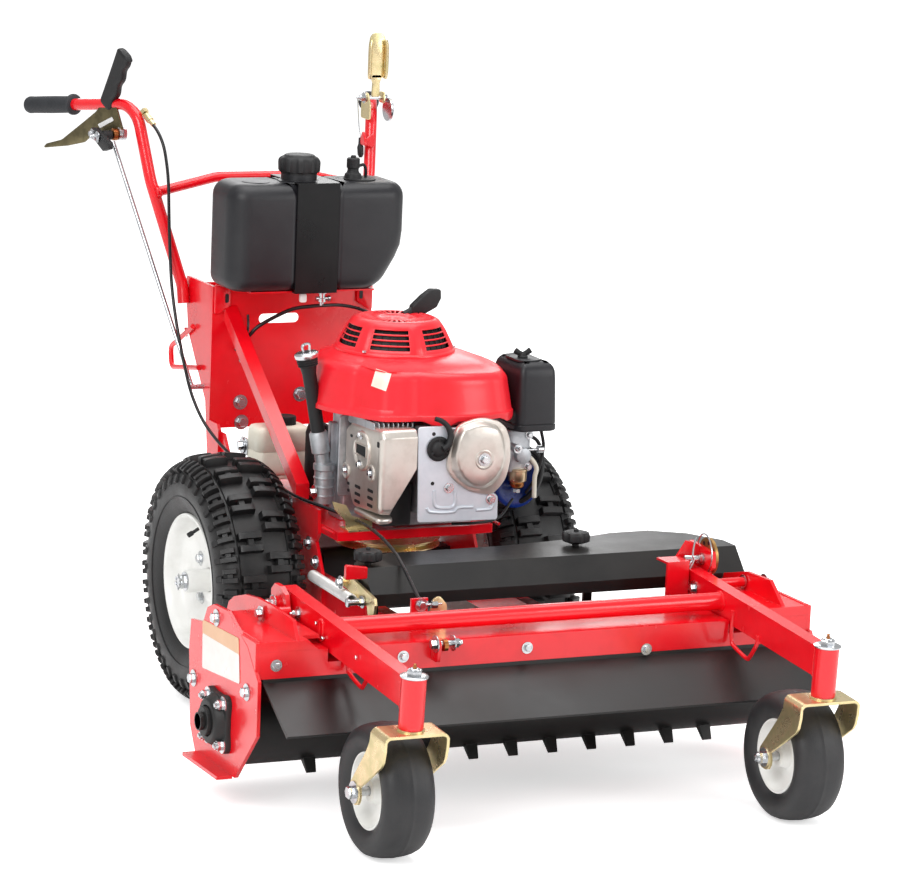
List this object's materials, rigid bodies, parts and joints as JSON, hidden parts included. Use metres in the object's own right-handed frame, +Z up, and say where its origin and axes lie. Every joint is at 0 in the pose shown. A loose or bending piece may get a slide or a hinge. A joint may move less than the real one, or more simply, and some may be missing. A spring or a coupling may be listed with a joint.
{
  "type": "walk-behind power rake",
  "caption": "Walk-behind power rake: engine on a red tractor frame with two drive wheels, pushing a hooded toothed drum with caster gauge wheels on hinged arms.",
  "frame": {"origin": "on the ground, under the centre of the machine's box", "axes": "+X to the operator's left, +Y back towards the operator (the machine drives along -Y), +Z up"},
  "size_m": [1.09, 1.9297, 1.136],
  "materials": {
    "red": "gloss red paint",
    "black": "satin black paint",
    "white": "white wheel paint",
    "tyre": "moulded rubber",
    "zinc": "yellow zinc plate",
    "olive": "dark zinc plate",
    "bright": "bright zinc plate",
    "steel": "bare steel",
    "iron": "black casting",
    "alloy": "die cast",
    "muffler": "pressed steel",
    "hood_red": "moulded red plastic",
    "plastic": "moulded black plastic",
    "bottle": "translucent plastic",
    "grip": "ribbed grip",
    "cable": "cable jacket"
  },
  "bodies": {
    "chassis": {"air_cleaner": "plastic", "bearing_left": "iron", "bearing_right": "iron", "belt_cover": "black", "cable_anchor": "red", "cable_bracket": "zinc", "cable_clutch": "cable", "cable_main": "cable", "carburettor": "alloy", "control_rod": "bright", "deck": "red", "deflector": "black", "end_plate_left": "red", "end_plate_right": "red", "engine_block": "alloy", "engine_shroud": "hood_red", "fan_cover": "hood_red", "frame_side_left": "red", "frame_side_right": "red", "fuel_cap": "plastic", "fuel_tank": "plastic", "grip_left": "grip", "grip_right": "grip", "handle_crossbar": "red", "handlebar_left": "red", "handlebar_right": "red", "head_beam": "red", "head_hood": "black", "index_bracket": "red", "index_disc": "zinc", "lever_left": "zinc", "lever_right": "olive", "lift_spring": "bright", "muffler": "muffler", "oil_filler": "plastic", "oil_reservoir": "bottle", "pivot_mount_left": "red", "pivot_mount_right": "red", "recoil_grip": "plastic", "spring_lever": "zinc", "tank_strap": "black", "tower": "red", "tower_brace": "red", "transaxle": "iron", "valve_cover": "alloy"},
    "rake_drum": {"rake_drum": "black"},
    "caster_frame": {"caster_arm_left": "red", "caster_arm_right": "red", "cross_tube": "red"},
    "caster_fork_left": {"caster_fork_left": "zinc"},
    "caster_fork_right": {"caster_fork_right": "zinc"},
    "caster_wheel_left": {"caster_tyre_left": "tyre", "caster_rim_left": "white"},
    "caster_wheel_right": {"caster_tyre_right": "tyre", "caster_rim_right": "white"},
    "drive_wheel_left": {"drive_tyre_left": "tyre", "drive_rim_left": "white"},
    "drive_wheel_right": {"drive_tyre_right": "tyre", "drive_rim_right": "white"},
    "drive_pulley": {"drive_pulley": "zinc"}
  },
  "joints": [
    {"name": "drum_spin", "type": "hinge", "parent": "chassis", "child": "rake_drum", "pos_m": [0, -0.5022, 0.14], "axis": [1, 0, 0], "continuous": true},
    {"name": "depth_hinge", "type": "hinge", "parent": "chassis", "child": "caster_frame", "pos_m": [0, -0.4492, 0.314], "axis": [-1, 0, 0], "range_deg": [-1.5, 6]},
    {"name": "caster_swivel_left", "type": "hinge", "parent": "caster_frame", "child": "caster_fork_left", "pos_m": [0.364, -0.93981, 0.26895], "axis": [0, -0.0645, 0.9979], "continuous": true},
    {"name": "caster_spin_left", "type": "hinge", "parent": "caster_fork_left", "child": "caster_wheel_left", "pos_m": [0.364, -0.8542, 0.10713], "axis": [1, 0, 0], "continuous": true},
    {"name": "drive_spin_left", "type": "hinge", "parent": "chassis", "child": "drive_wheel_left", "pos_m": [0.267, 0.1028, 0.224], "axis": [1, 0, 0], "continuous": true},
    {"name": "caster_swivel_right", "type": "hinge", "parent": "caster_frame", "child": "caster_fork_right", "pos_m": [-0.364, -0.93981, 0.26895], "axis": [0, -0.0645, 0.9979], "continuous": true},
    {"name": "caster_spin_right", "type": "hinge", "parent": "caster_fork_right", "child": "caster_wheel_right", "pos_m": [-0.364, -0.8542, 0.10713], "axis": [1, 0, 0], "continuous": true},
    {"name": "drive_spin_right", "type": "hinge", "parent": "chassis", "child": "drive_wheel_right", "pos_m": [-0.267, 0.1028, 0.224], "axis": [1, 0, 0], "continuous": true},
    {"name": "pulley_spin", "type": "hinge", "parent": "chassis", "child": "drive_pulley", "pos_m": [0.008, 0.0078, 0.305], "axis": [0, 0, 1], "continuous": true}
  ]
}
